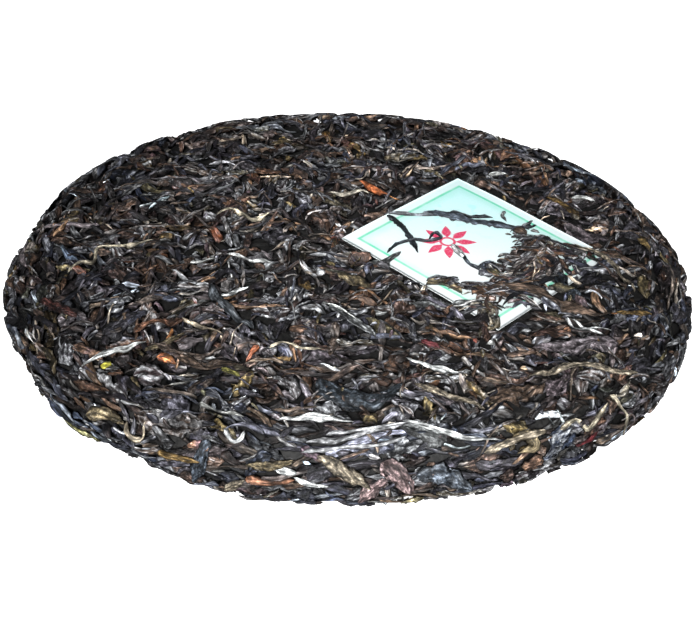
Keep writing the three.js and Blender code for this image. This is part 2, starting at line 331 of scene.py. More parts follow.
def bud(t, length, width, thick, across):
    """A tip of a shoot: a spindle of a few close leaves, fullest towards its root."""
    full = np.sin(math.pi * np.clip(t, 0, 1) ** rng.uniform(0.6, 0.95)) ** 0.7
    full = full * (1 + 0.12 * wander(t, 4)) + 0.05
    body = np.sqrt(np.clip(1 - 0.95 * across ** 2, 0, 1))
    groove = rng.uniform(-0.4, 0.4) + 0.4 * (t - 0.5)[:, None] * rng.normal()
    crease = 1 - 0.5 * np.exp(-((across - groove) / 0.22) ** 2)
    return width / 2 * full, (thick * full ** 0.7)[:, None] * body * crease


def sheet(t, length, width, thick, across):
    """A flattened leaf: a crumpled sheet with sharp lengthwise pleats, buckles and torn edges."""
    full = taper(t, rng.uniform(0.1, 0.35), rng.uniform(0.1, 0.45))
    full = full * (1 + 0.2 * wander(t, length / 3)) + 0.06
    run, beside = t[:, None] * length, across * width / 2
    rise = 0.12 * wander(t, length / 5)[:, None] + 0.3 * rng.normal() * across ** 2
    for size in (3.6, 2.1, 1.3):
        if size * len(across) > 1.6 * width:
            drift = rng.normal(0, 0.3) * run + 0.5 * wander(t, length / 7)[:, None]
            pleat = np.abs(np.sin(math.pi * (beside + drift) / size + rng.uniform(0, TAU)))
            rise = rise + rng.choice([-0.3, 0.3]) * size ** 0.6 * pleat
    bend = run / rng.uniform(2.5, 5.5) + rng.uniform(-0.6, 0.6) * across
    bend = bend + 0.5 * wander(t, length / 6)[:, None]
    rise = rise + rng.uniform(0.1, 0.3) * np.abs(np.sin(math.pi * bend))
    curl = np.where(across > 0, rng.normal(0.15, 0.5), rng.normal(0.15, 0.5)) * np.abs(across) ** 3
    fold = rng.uniform(0.2, 0.6) * (across > rng.uniform(0.1, 1.5)) * (rng.uniform() < 0.8)
    rise = (rise + 0.6 * curl + fold) * np.minimum(1, full[:, None] * 1.6)
    return width / 2 * full, rise - rise.min() * 0.6 + thick


def kind_of(form, share, length, width, thick, points, colours):
    """One kind of leaf: its form, its share of the heap, the ranges of its sizes, the points across its top
    and its colours. A sheet drapes more closely over what lies below, and its edges are more torn."""
    flat = form is sheet
    return dict(form=form, share=share, length=length, width=width, thick=thick, points=points,
                colours=colours, drape=3 if flat else 1, torn=0.15 if flat else 0.08)


KINDS = {
    "black_leaves": kind_of(rope, 0.22, (5, 26), (1.0, 2.5), (0.5, 0.9), 8,
                            [(32, 30, 35), (41, 41, 50), (27, 25, 27), (48, 41, 39)]),
    "grey_leaves": kind_of(rope, 0.17, (5, 24), (1.0, 2.4), (0.5, 0.9), 8,
                           [(60, 59, 66), (82, 80, 86), (50, 50, 59), (100, 97, 96)]),
    "umber_leaves": kind_of(rope, 0.19, (5, 24), (1.0, 2.4), (0.5, 0.9), 8,
                            [(58, 46, 40), (77, 61, 50), (45, 36, 33), (95, 78, 63)]),
    "slate_leaves": kind_of(sheet, 0.11, (6, 19), (2.2, 5.4), (0.2, 0.35), 12,
                            [(35, 33, 39), (46, 45, 52), (32, 29, 31), (68, 66, 72)]),
    "brown_leaves": kind_of(sheet, 0.1, (6, 18), (2.0, 5.0), (0.2, 0.35), 12,
                            [(67, 50, 41), (52, 40, 35), (84, 66, 54), (58, 46, 49)]),
    "olive_leaves": kind_of(sheet, 0.06, (5, 17), (1.5, 3.6), (0.25, 0.4), 9,
                            [(66, 60, 45), (82, 74, 53), (50, 46, 36), (100, 86, 56)]),
    "silver_tips": kind_of(bud, 0.04, (3, 13), (0.7, 2.0), (0.5, 0.9), 7,
                           [(168, 170, 174), (205, 207, 208), (132, 132, 136), (176, 166, 150)]),
    "stalks": kind_of(stem, 0.1, (4, 22), (0.5, 1.1), (0.4, 0.8), 5,
                      [(112, 105, 97), (76, 72, 70), (48, 46, 50), (168, 160, 148)]),
    "russet_leaves": kind_of(rope, 0.012, (3, 10), (0.8, 2.2), (0.4, 0.7), 7,
                             [(96, 52, 40), (80, 50, 43), (122, 84, 50), (78, 48, 46)]),
}
BROAD_KINDS = ("slate_leaves", "brown_leaves")


def to_linear(colour):
    share = np.asarray(colour, float) / 255
    return np.where(share <= 0.04045, share / 12.92, ((share + 0.055) / 1.055) ** 2.4)


def route_of(centre, heading, length, bend, rows):
    """A leaf's own middle line, as places along it and the direction at each."""
    t = np.linspace(0, 1, rows)
    turn = heading + bend * (t - 0.5) + 0.12 * wander(t, length / 7)
    step = np.stack([np.cos(turn), np.sin(turn)], 1)
    line = np.concatenate([[[0, 0]], np.cumsum((step[1:] + step[:-1]) / 2, 0)]) * length / (rows - 1)
    return line - line[rows // 2] + np.asarray(centre), step


def directions(line):
    """The direction at each place along a line."""
    step = np.gradient(line, axis=0)
    return step / np.maximum(np.hypot(*step.T)[:, None], 1e-9)


def sideways(step):
    """The directions a quarter turn to the left of others."""
    return np.stack([-step[:, 1], step[:, 0]], 1)


def along_route(points, spacing):
    """A smooth line through a few chosen places, as places along it and the direction at each."""
    points = np.asarray(points, float)
    ends = np.concatenate([[2 * points[0] - points[1]], points, [2 * points[-1] - points[-2]]])
    share = np.linspace(0, len(points) - 1, 12 * (len(points) - 1) + 1)
    k = np.minimum(share.astype(int), len(points) - 2)
    u = (share - k)[:, None]
    a, b, c, d = (ends[k + n] for n in range(4))
    square, cube = 2 * a - 5 * b + 4 * c - d, 3 * b - a - 3 * c + d
    line = 0.5 * (2 * b + (c - a) * u + square * u ** 2 + cube * u ** 3)
    run = run_along(*line.T)
    even = np.linspace(0, run[-1], max(6, round(run[-1] / spacing)))
    line = np.stack([np.interp(even, run, line[:, n]) for n in (0, 1)], 1)
    return line, directions(line)


def beside_points(grid):
    """For each point across a leaf, the mean height of the two points on either side of it."""
    wide = np.pad(grid, ((0, 0), (2, 2)), mode="edge")
    return (wide[:, :-4] + wide[:, 1:-3] + wide[:, 3:-1] + wide[:, 4:]) / 4


def softened(values, passes):
    """Rows of values smoothed along the leaf, as its stiffness does."""
    for _ in range(passes):
        padded = np.concatenate([values[:1], values, values[-1:]])
        values = padded[:-2] / 4 + padded[1:-1] / 2 + padded[2:] / 4
    return values


RESTING_POINTS = np.linspace(-1, 1, 5)


def support(pile, line, side, half, degree, passes):
    """Curves across the leaf that it rests on, one for each place along it: what lies below, softened."""
    p = line[:, :1] + side[:, :1] * half[:, None] * RESTING_POINTS
    q = line[:, 1:] + side[:, 1:] * half[:, None] * RESTING_POINTS
    below = pile.height(p, q)
    padded = np.concatenate([below[:1], below, below[-1:]])
    highest = np.maximum(np.maximum(padded[:-2], padded[2:]), below)
    below = softened(0.5 * highest + 0.5 * below, passes)
    return below @ np.linalg.pinv(np.vander(RESTING_POINTS, degree + 1, increasing=True)).T


def dense(grid, rows, cols):
    """A grid of values with this many rows and columns, read evenly between the points of another."""
    r, c = np.linspace(0, grid.shape[-2] - 1, rows), np.linspace(0, grid.shape[-1] - 1, cols)
    return between(grid, r[:, None], c[None, :])


# Painted shade in a leaf's grooves and at its edges, and the pale of hair and painted highlight on its
# ridges.
CREASE_SHADE = 0.7
EDGE_SHADE = 0.6
PALE_HAIR_AND_HIGHLIGHT = np.array([0.3, 0.31, 0.32])
LEAF_SHADE = 0.64
CHOSEN_SHADE = 0.52
WARM_FACE = 0.04
COOL_WALL = 0.08


def leaf_tint(made, t, rise, across, colour, place):
    """Colours over a leaf's top: two of its kind's colours run together, with painted highlight and pale
    hair on ridges and painted shade in grooves and at the edges.
    """
    if colour is None:
        first, second = (to_linear(made["colours"][k]) for k in rng.integers(len(made["colours"]), size=2))
        warm = 0.1 * WARMTH(*place) + WARM_FACE - COOL_WALL * np.clip((math.hypot(*place) - 78) / 18, 0, 1)
        strength = LEAF_SHADE * math.exp(rng.normal(0, 0.25) + 0.4 * TONES(*place))
        strength = strength * np.array([1 + warm, 1, 1 - warm])
    else:
        first, second, strength = to_linear(colour), 0.55 * to_linear(colour), CHOSEN_SHADE
    phase = 1.4 * wander(t, 3)[:, None] + rng.uniform(-1.5, 1.5) * across + rng.uniform(0, TAU)
    blend = 0.5 + 0.5 * np.sin(phase)
    tint = strength * (first + (second - first) * blend[..., None])
    # Painted shade and highlight: darker in the grooves of the leaf's top, lighter on its ridges.
    ridge = np.tanh((rise - beside_points(rise)) / 0.1)[..., None]
    tint = tint * np.exp(CREASE_SHADE * ridge + 0.2 * wander(t, 5)[:, None, None])
    # Painted shade: the leaf darkens towards its edges, as if into the shadow below it.
    tint = tint * (1 - EDGE_SHADE * across ** 4)[:, None]
    # Pale hair on some ridges, partly a painted highlight.
    most = 0.9 if colour is None else 0.4
    hair_and_highlight = rng.uniform(0, most) * np.clip(ridge, 0, 1) ** 2 * (rng.uniform() < 0.4)
    return tint + (PALE_HAIR_AND_HIGHLIGHT - tint) * hair_and_highlight


def lay_leaf(pile, kind, line, step, width, thick, colour=None, lean=0.0, points=None):
    """Lays one leaf on the pile along a line, and returns its points, colours and own coordinates."""
    made = KINDS[kind]
    rows = len(line)
    t = np.linspace(0, 1, rows)
    length = np.hypot(*np.diff(line, axis=0).T).sum()
    across = np.linspace(1, -1, points or made["points"])
    half, rise = made["form"](t, length, width, thick, across)
    side = sideways(step)
    curve = support(pile, line, side, half, made["drape"], 3)
    rest = sum(curve[:, n:n + 1] * across ** n for n in range(made["drape"] + 1))
    torn = made["torn"] if colour is None else 0.04
    lateral = half[:, None] * across * (1 + rng.normal(0, torn, rise.shape))
    top = rest + rise + lean * lateral + 0.6 * abs(lean) * half[:, None]
    under = rest.mean(1, keepdims=True) - 0.1
    tint = leaf_tint(made, t, rise, across, colour, line[rows // 2])
    lateral = np.concatenate([lateral, 0 * half[:, None]], 1)
    height = np.concatenate([top, np.minimum(under, top.min(1, keepdims=True) - 0.05)], 1)
    p = line[:, :1] + side[:, :1] * lateral
    q = line[:, 1:] + side[:, 1:] * lateral
    grid = np.stack([p, q, height])[..., :-1]
    pile.cover(*dense(grid, int(length / CELL * 1.4) + 4, int(width / CELL * 1.6) + 4))
    return dict(kind=kind, p=p, q=q, h=height, tint=np.concatenate([tint, tint[:, -1:]], 1),
                run=t * length, across=lateral, seed=rng.uniform(0, 1000))


def spread_places(count, reach):
    """Places spread evenly over a disc, in a random order."""
    n = rng.permutation(count) + 0.5
    angle = n * math.pi * (3 - math.sqrt(5))
    far = reach * np.sqrt(n / count)
    jitter = rng.normal(0, 1.5, (2, count))
    return np.stack([far * np.cos(angle) + jitter[0], far * np.sin(angle) + jitter[1]], 1)


RIM_START = 82
RIM_TURN = 12


def heading_at(place):
    """A heading that follows its neighbours in loose bundles, and runs round the cake towards its rim."""
    far = math.hypot(*place)
    along_rim = math.atan2(place[1], place[0]) + math.pi / 2
    if rng.uniform() < np.clip((far - RIM_START) / RIM_TURN, 0, 0.92):
        return along_rim + rng.normal(0, 0.28)
    if rng.uniform() < 0.25:
        return rng.uniform(0, TAU)
    return 1.5 * BUNDLES(*place) + rng.normal(0, 0.45)


def random_leaf(pile, place, size, spacing, points=None, allowed=None, names=tuple(KINDS), broad=1.0):
    """Lays a leaf of a random kind at a place, or none where one would hide what has to stay bare."""
    shares = np.array([KINDS[name]["share"] for name in names])
    kind = names[rng.choice(len(names), p=shares / shares.sum())]
    made = KINDS[kind]
    shortest, longest = made["length"]
    length = size * (shortest + (longest - shortest) * rng.uniform() ** 1.6)
    width = rng.uniform(*made["width"]) * min(size, 1.25) * broad
    thick = rng.uniform(*made["thick"]) * min(size, 1) ** 0.5
    rows = int(np.clip(length / spacing + 2, 4, 26))
    line, step = route_of(place, heading_at(place), length, rng.normal(0, 0.5), rows)
    lean = rng.normal(0, 0.25)
    if allowed is not None and not allowed(line, width):
        return None
    return lay_leaf(pile, kind, line, step, width, thick, None, lean, points)


def clear_of_paper(line, width):
    """Whether a leaf along this line leaves the bare paper and the gaps free."""
    side = sideways(directions(line))
    edges = np.concatenate([line + side * width / 2 * k for k in (-1, 0, 1)])
    return not kept_bare(edges[:, 0], edges[:, 1]).any()


PALETTE = {
    "white": (208, 211, 210), "silver": (192, 194, 191), "pale": (158, 159, 161), "straw": (186, 176, 154),
    "tan": (148, 137, 119), "olive": (116, 104, 80), "yellow": (204, 196, 64), "moss": (142, 138, 76),
    "amber": (118, 95, 56), "russet": (158, 90, 54), "maroon": (106, 35, 40), "plum": (98, 88, 92),
    "brown": (90, 74, 62), "umber": (62, 36, 32), "slate": (74, 82, 92), "ink": (44, 50, 56),
    "grey": (102, 104, 104), "pink": (130, 111, 110), "rust": (124, 88, 68),
}

# Leaves on the paper, each with the places along its middle line in the drawing of the face, its width and
# its colour: first the thin stems over the bare part, then the leaves that bury the rest.
ON_PAPER = [
    ("stalks", [(10, 21), (15, 20), (21, 20), (28, 21), (36, 19)], 1.3, "slate"),
    ("grey_leaves", [(22, 21), (29, 20), (37, 17), (44, 16), (53, 14)], 2.9, "slate"),
    ("stalks", [(30, 21), (36, 20), (43, 21)], 1.1, "ink"),
    ("stalks", [(51, 16), (53, 17), (55, 21)], 1.1, "ink"),
    ("stalks", [(52, 15), (54, 16), (56, 18)], 1.1, "ink"),
    ("stalks", [(47, 25), (46, 23), (46, 21), (47, 19)], 0.9, "grey"),
    ("black_leaves", [(11, 19), (12, 17), (16, 10), (20, -3)], 1.7, "ink"),
    ("stalks", [(11, -4), (14, 1), (19, 3), (24, 4), (27, 6), (25, 9), (23, 4)], 0.9, "ink"),
    ("grey_leaves", [(2, -13), (6, -11), (10, -10), (15, -3)], 2.6, "grey"),
    ("silver_tips", [(30, 3), (32, -2), (34, -6)], 2.4, "white"),
    ("stalks", [(33, -5), (35, -9), (38, -12)], 1.0, "ink"),
    ("slate_leaves", [(37, -11), (41, -12), (46, -17)], 5.0, "slate"),
    ("stalks", [(22, -19), (25, -17), (29, -18), (32, -20)], 0.9, "ink"),
    ("olive_leaves", [(22, -21), (27, -21), (32, -25)], 2.6, "olive"),
    ("olive_leaves", [(36, -24), (46, -20), (50, -12)], 3.4, "brown"),
    ("silver_tips", [(4, -36), (9, -35), (15, -32)], 3.4, "white"),
    ("slate_leaves", [(13, -33), (22, -31), (35, -31)], 4.2, "grey"),
    ("silver_tips", [(11, -40), (14, -43), (19, -47)], 3.0, "white"),
    ("grey_leaves", [(34, -33), (37, -31), (41, -33)], 2.0, "tan"),
    ("brown_leaves", [(40, -31), (38, -36), (39, -40), (36, -47)], 5.0, "olive"),
    ("silver_tips", [(58, -12), (62, -9), (66, -6)], 3.0, "straw"),
    ("slate_leaves", [(55, 1), (57, -9), (61, -19), (67, -29)], 4.2, "ink"),
    ("russet_leaves", [(51, -12), (53, -15)], 2.6, "rust"),
    ("russet_leaves", [(11, -22), (14, -26)], 2.6, "russet"),
    ("silver_tips", [(39, -48), (40, -50)], 3.4, "silver"),
]

# The leaves of the rest of the face and the wall that the eye meets first, in the same form.
CHOSEN = [
    ("slate_leaves", [(37, -79), (45, -73), (53, -67)], 8.0, "brown"),
    ("slate_leaves", [(50, -53), (59, -50), (67, -48), (73, -49)], 7.0, "plum"),
    ("brown_leaves", [(52, -74), (56, -68), (58, -64)], 6.0, "plum"),
    ("slate_leaves", [(14, -88), (19, -90), (26, -92)], 6.4, "grey"),
    ("slate_leaves", [(19, -101), (26, -100), (32, -102), (37, -104)], 6.4, "slate"),
    ("brown_leaves", [(10, -99), (15, -102), (19, -107)], 6.6, "pink"),
    ("umber_leaves", [(43, -91), (44, -87), (48, -86), (50, -88), (46, -91)], 2.6, "olive"),
    ("russet_leaves", [(64, -84), (67, -81), (68, -78)], 3.4, "maroon"),
    ("umber_leaves", [(40, -23), (50, -23), (58, -27), (66, -32), (73, -33)], 5.4, "brown"),
    ("olive_leaves", [(74, -33), (79, -33), (84, -32)], 3.0, "amber"),
    ("olive_leaves", [(60, 34), (64, 30), (69, 22)], 3.2, "amber"),
    ("silver_tips", [(68, 38), (75, 34)], 2.6, "silver"),
    ("silver_tips", [(43, 49), (49, 48)], 2.6, "silver"),
    ("russet_leaves", [(2, 39), (6, 35), (11, 31)], 1.8, "russet"),
    ("silver_tips", [(-7, 30), (0, 32), (7, 33)], 2.8, "straw"),
    ("stalks", [(60, -36), (64, -40), (70, -44)], 0.9, "white"),
    ("stalks", [(62, -35), (66, -39), (72, -42)], 0.9, "white"),
    ("silver_tips", [(-35, -33), (-31, -29), (-27, -26)], 3.6, "white"),
    ("silver_tips", [(-45, -15), (-41, -13), (-38, -11)], 3.2, "silver"),
    ("stalks", [(-35, -10), (-29, -11), (-22, -13)], 1.5, "silver"),
    ("stalks", [(-40, 15), (-36, 17), (-32, 14), (-29, 11), (-24, 15)], 2.2, "straw"),
    ("stalks", [(-79, -21), (-77, -16), (-73, -13), (-72, -7), (-66, -6), (-65, -2), (-57, -1)],
     1.6, "straw"),
    ("russet_leaves", [(-41, 6), (-38, 1), (-38, -1)], 3.4, "russet"),
    ("russet_leaves", [(-78, -18), (-74, -21)], 3.4, "russet"),
    ("silver_tips", [(-87, 15), (-80, 16)], 3.0, "pale"),
    ("stalks", [(-45, -44), (-39, -47), (-33, -52)], 1.5, "tan"),
    ("silver_tips", [(-38, -60), (-34, -61)], 2.8, "white"),
    ("russet_leaves", [(-26, -62), (-23, -57)], 2.6, "russet"),
    ("olive_leaves", [(-32, -68), (-27, -71)], 2.4, "moss"),
    ("stalks", [(-20, -58), (-17, -55), (-14, -56), (-12, -58), (-6, -58)], 1.7, "straw"),
    ("slate_leaves", [(-5, -36), (2, -44), (8, -50)], 3.4, "grey"),
    ("olive_leaves", [(-3, -20), (2, -23), (6, -27)], 5.6, "olive"),
    ("brown_leaves", [(-13, -22), (-11, -29)], 4.0, "amber"),
    ("slate_leaves", [(-7, -72), (-1, -78), (7, -79), (15, -72)], 9.0, "ink"),
    ("brown_leaves", [(-3, -45), (-3, -52), (-4, -61)], 3.6, "brown"),
    ("brown_leaves", [(-44, -63), (-36, -66), (-28, -66)], 6.0, "brown"),
    ("black_leaves", [(-38, -27), (-36, -34), (-30, -41), (-25, -46)], 3.8, "ink"),
    ("silver_tips", [(-16, -88), (-10, -87), (-4, -87), (3, -89)], 2.3, "white"),
    ("stalks", [(-29, -90), (-27, -93), (-25, -93), (-24, -91)], 1.7, "white"),
    ("slate_leaves", [(-33, -92), (-36, -97), (-41, -103)], 5.0, "slate"),
    ("grey_leaves", [(-9, -94), (2, -93), (10, -90), (20, -86)], 2.4, "pale"),
    ("stalks", [(-4, -92), (6, -91), (16, -88)], 1.2, "pale"),
    ("stalks", [(-10, -97), (0, -96), (9, -95), (16, -92)], 1.3, "pale"),
    ("silver_tips", [(15, -87), (22, -89), (29, -90), (40, -89)], 2.2, "white"),
    ("brown_leaves", [(18, -72), (27, -76), (36, -80)], 3.2, "tan"),
    ("silver_tips", [(16, -60), (24, -63), (33, -64)], 1.9, "white"),
    ("olive_leaves", [(48, -66), (55, -62), (62, -60), (71, -60), (78, -57)], 2.8, "tan"),
    ("olive_leaves", [(76, -60), (74, -65), (70, -68)], 1.8, "straw"),
    ("stalks", [(70, -67), (75, -69), (79, -71), (83, -74)], 1.8, "straw"),
    ("stalks", [(56, -82), (60, -78), (64, -79), (67, -74), (69, -70)], 1.9, "straw"),
    ("grey_leaves", [(36, -93), (44, -88), (53, -83)], 2.2, "tan"),
    ("russet_leaves", [(20, -52), (25, -55)], 3.2, "maroon"),
    ("stalks", [(-7, -34), (-1, -39), (3, -44)], 1.1, "silver"),
    ("silver_tips", [(-63, -66), (-60, -67)], 3.4, "yellow"),
    ("olive_leaves", [(-81, -75), (-75, -82), (-70, -86)], 2.6, "moss"),
    ("stalks", [(-57, -83), (-56, -87), (-53, -89), (-50, -85)], 1.7, "tan"),
    ("brown_leaves", [(-68, -78), (-62, -80), (-57, -84)], 4.6, "olive"),
    ("brown_leaves", [(-85, -34), (-79, -40), (-73, -45)], 4.4, "umber"),
    ("brown_leaves", [(-53, -60), (-48, -57), (-43, -52)], 3.0, "olive"),
    ("brown_leaves", [(-57, -50), (-52, -46), (-44, -45)], 2.8, "rust"),
    ("silver_tips", [(-17, -101), (-11, -102)], 2.6, "white"),
    ("silver_tips", [(-12, -103), (-8, -105), (-3, -106)], 2.8, "white"),
    ("olive_leaves", [(-24, -99), (-18, -100), (-12, -99)], 2.8, "olive"),
    ("russet_leaves", [(-25, -103), (-17, -105), (-12, -104)], 2.4, "rust"),
    ("brown_leaves", [(5, -111), (8, -107), (12, -103)], 4.6, "pink"),
    ("olive_leaves", [(-6, -98), (0, -101), (8, -106)], 4.6, "tan"),
    ("brown_leaves", [(-32, -106), (-25, -103)], 3.2, "tan"),
    ("russet_leaves", [(-49, -93), (-43, -95), (-36, -97)], 2.2, "amber"),
    ("brown_leaves", [(-52, -56), (-42, -60), (-32, -58)], 4.4, "brown"),
    ("silver_tips", [(-68, -65), (-60, -60), (-53, -54)], 2.2, "silver"),
    ("olive_leaves", [(66, 4), (73, -1), (78, -10), (81, -20)], 2.6, "tan"),
]

# How far the heap stands out at the shoulder and is drawn in at the foot, and where along the skin that is.
LIFT = 0.6
LIFT_AT = 90
LIFT_WIDTH = 7
TUCK = 1.7
TUCK_FROM = 101
TUCK_FULL = 114


def set_to_skin(p, q):
    """How far the heap stands out over the skin: out at the shoulder, and drawn in at the foot."""
    reach = np.hypot(p, q)
    return LIFT * np.exp(-((reach - LIFT_AT) / LIFT_WIDTH) ** 2) - TUCK * eased(reach, TUCK_FROM, TUCK_FULL)


def pressed(height, cap):
    """Heights after pressing: what stands proud is pushed back, and the order stays."""
    return np.where(height > 0, cap * np.tanh(height / cap), height)


def lay_chosen(heap, chosen, slim=1.0):
    for kind, route, width, colour in chosen:
        line, step = along_route(route, 0.8)
        yield lay_leaf(heap, kind, line, step, slim * width, max(KINDS[kind]["thick"]), PALETTE[colour])


def face_leaves():
    """All leaves of the face and wall, and the pile that they make."""
    heap = Pile(FACE_REACH)
    lower = [random_leaf(heap, place, size=1.1, spacing=2.0, points=7)
             for place in spread_places(LOWER_LEAVES, FACE_REACH - 2)]
    mean = heap.smoothed(PRESS_BLUR)
    inset = np.clip(inside_ticket(heap.p, heap.q) / 2.0 + 1, 0, 1)
    push = TICKET_PUSH * eased(inset, 0, 1) - LUMP_HEIGHT * (1 - inset) * LUMPS(heap.p, heap.q)
    for leaf in lower:
        drop = heap.read(mean, leaf["p"], leaf["q"])
        leaf["h"] = pressed(leaf["h"] - drop, LOWER_CAP) + LOWER_TOP - heap.read(push, leaf["p"], leaf["q"])
    heap.top = pressed(heap.top - mean, LOWER_CAP) + LOWER_TOP - push
    paper = inside_ticket(heap.p, heap.q) > 0
    heap.top = np.where(paper, ticket_height(*from_ticket(heap.p, heap.q)) + PAPER / 2, heap.top)
    upper = list(lay_chosen(heap, ON_PAPER))
    for count, size in PAPER_LAYERS:
        for place in spread_places(count, PAPER_REACH) + np.array(TICKET_CENTRE):
            if inside_ticket(*place) > -PAPER_MARGIN and math.hypot(*place) < 96:
                upper.append(random_leaf(heap, place, size, 0.9, None, clear_of_paper))
    for place in spread_places(BROAD_LEAVES, FACE_REACH - 5):
        if inside_ticket(*place) < 0:
            upper.append(random_leaf(heap, place, 1.1, 1.4, 14, clear_of_paper, BROAD_KINDS, 1.7))
    for count, size, spacing in UPPER_LAYERS:
        for place in spread_places(count, FACE_REACH - 3):
            if inside_ticket(*place) < 0:
                longer = LONGER_BY if math.hypot(*place) > LONGER_FROM else 1.0
                upper.append(random_leaf(heap, place, size * longer, spacing, None, clear_of_paper))
    upper += lay_chosen(heap, CHOSEN, 0.75)
    leaves = [leaf for leaf in lower + upper if leaf is not None]
    beside_paper = np.clip(-inside_ticket(heap.p, heap.q) / 3, 0, 1)
    excess = np.maximum(heap.smoothed(PRESS_BLUR) - UPPER_TOP, 0) * beside_paper
    for leaf in leaves:
        height = pressed(leaf["h"] - heap.read(excess, leaf["p"], leaf["q"]), HIGHEST_TIP)
        leaf["h"] = height + set_to_skin(leaf["p"], leaf["q"])
    heap.top = pressed(heap.top - excess, HIGHEST_TIP) + set_to_skin(heap.p, heap.q)
    return leaves, heap


BASE_TOP = -0.3
BASE_CAP = 0.7


def base_leaves():
    """The leaves of the underside, pressed flat by their own weight, and their pile."""
    heap = Pile(BASE_REACH)
    leaves = [random_leaf(heap, place, size=1.3, spacing=2.4, points=7)
              for place in spread_places(BASE_LEAVES, BASE_REACH - 7)]
    mean = heap.smoothed(PRESS_BLUR)
    for leaf in leaves:
        leaf["h"] = pressed(leaf["h"] - heap.read(mean, leaf["p"], leaf["q"]), BASE_CAP) + BASE_TOP
    heap.top = pressed(heap.top - mean, BASE_CAP) + BASE_TOP
    return leaves, heap


HIDDEN_BY = 0.3


def shown_stretch(leaf, heap):
    """A leaf cut to the stretch that lies at the top of the pile, or nothing where it is buried."""
    top = leaf["h"][:, :-1] > heap.height(leaf["p"][:, :-1], leaf["q"][:, :-1]) - HIDDEN_BY
    rows = np.nonzero(top.mean(1) > 0.15)[0]
    if len(rows) < 2:
        return None
    part = slice(max(rows[0] - 1, 0), rows[-1] + 2)
    cut = {key: leaf[key][part] for key in ("p", "q", "h", "tint", "run", "across")}
    return dict(leaf, **cut)


def mesh_piece(name, points, faces, colours=None, own=None):
    """One smooth mesh object from points in metres and faces of any number of corners."""
    mesh = bpy.data.meshes.new(name)
    corners = np.concatenate([np.ravel(group) for group in faces])
    sizes = np.concatenate([np.full(len(group), group.shape[1]) for group in faces])
    mesh.vertices.add(len(points))
    mesh.vertices.foreach_set("co", np.asarray(points, np.float32).ravel())
    mesh.loops.add(len(corners))
    mesh.loops.foreach_set("vertex_index", corners.astype(np.int32))
    mesh.polygons.add(len(sizes))
    mesh.polygons.foreach_set("loop_start", np.concatenate([[0], np.cumsum(sizes)[:-1]]).astype(np.int32))
    mesh.update(calc_edges=True)
    mesh.shade_smooth()
    if colours is not None:
        rgba = np.concatenate([colours, np.ones((len(colours), 1))], 1).astype(np.float32)
        mesh.attributes.new("tint", "FLOAT_COLOR", "POINT").data.foreach_set("color", rgba.ravel())
        places = mesh.attributes.new("leaf", "FLOAT_VECTOR", "POINT").data
        places.foreach_set("vector", own.astype(np.float32).ravel())
    piece = bpy.data.objects.new(name, mesh)
    bpy.context.scene.collection.objects.link(piece)
    return piece


def tube_faces(rows, cols, start, flip):
    """Faces of a closed tube of rows by cols points: its sides as quads, its two ends as one face each."""
    ring = np.arange(cols)
    after = (ring + 1) % cols
    base = start + np.arange(rows - 1)[:, None] * cols
    sides = np.stack([base + ring, base + after, base + cols + after, base + cols + ring], -1).reshape(-1, 4)
    ends = np.stack([start + ring[::-1], start + (rows - 1) * cols + ring])
    return (sides[:, ::-1], ends[:, ::-1]) if flip else (sides, ends)


# Painted shade by depth in the heap: the heights where it is darkest and lightest, and how much colour is
# left there.
DARK_DEPTH = -2.2
LIGHT_DEPTH = 0.3
DARK_SHADE = 0.16
LIGHT_SHADE = 1.1


def depth_shade_and_dust(height):
    """How much of a leaf's colour is left at a height: painted shade, darker the deeper it lies in the heap
    and partly packed dust, and a little brighter at the top.
    """
    return DARK_SHADE + (LIGHT_SHADE - DARK_SHADE) * eased(height, DARK_DEPTH, LIGHT_DEPTH)


def join_leaves(name, leaves, from_base):
    """One piece from many leaves."""
    points, colours, own, quads, ends = [], [], [], [], {}
    start = 0
    for leaf in leaves:
        rows, cols = leaf["p"].shape
        points.append(on_cake(leaf["p"], leaf["q"], leaf["h"], from_base).reshape(-1, 3) * MM)
        # Painted shade: each point darkens the deeper it lies in the heap.
        shade = depth_shade_and_dust(leaf["h"] - (0 if from_base else set_to_skin(leaf["p"], leaf["q"])))
        colours.append((leaf["tint"] * shade[..., None]).reshape(-1, 3))
        run = np.repeat(leaf["run"], cols)
        own.append(np.stack([run, leaf["across"].ravel(), np.full(rows * cols, leaf["seed"])], 1))
        sides, caps = tube_faces(rows, cols, start, from_base)
        quads.append(sides)
        ends.setdefault(cols, []).append(caps)
        start += rows * cols
    faces = [np.concatenate(quads)] + [np.concatenate(caps) for caps in ends.values()]
    return mesh_piece(name, np.concatenate(points), faces, np.concatenate(colours), np.concatenate(own))


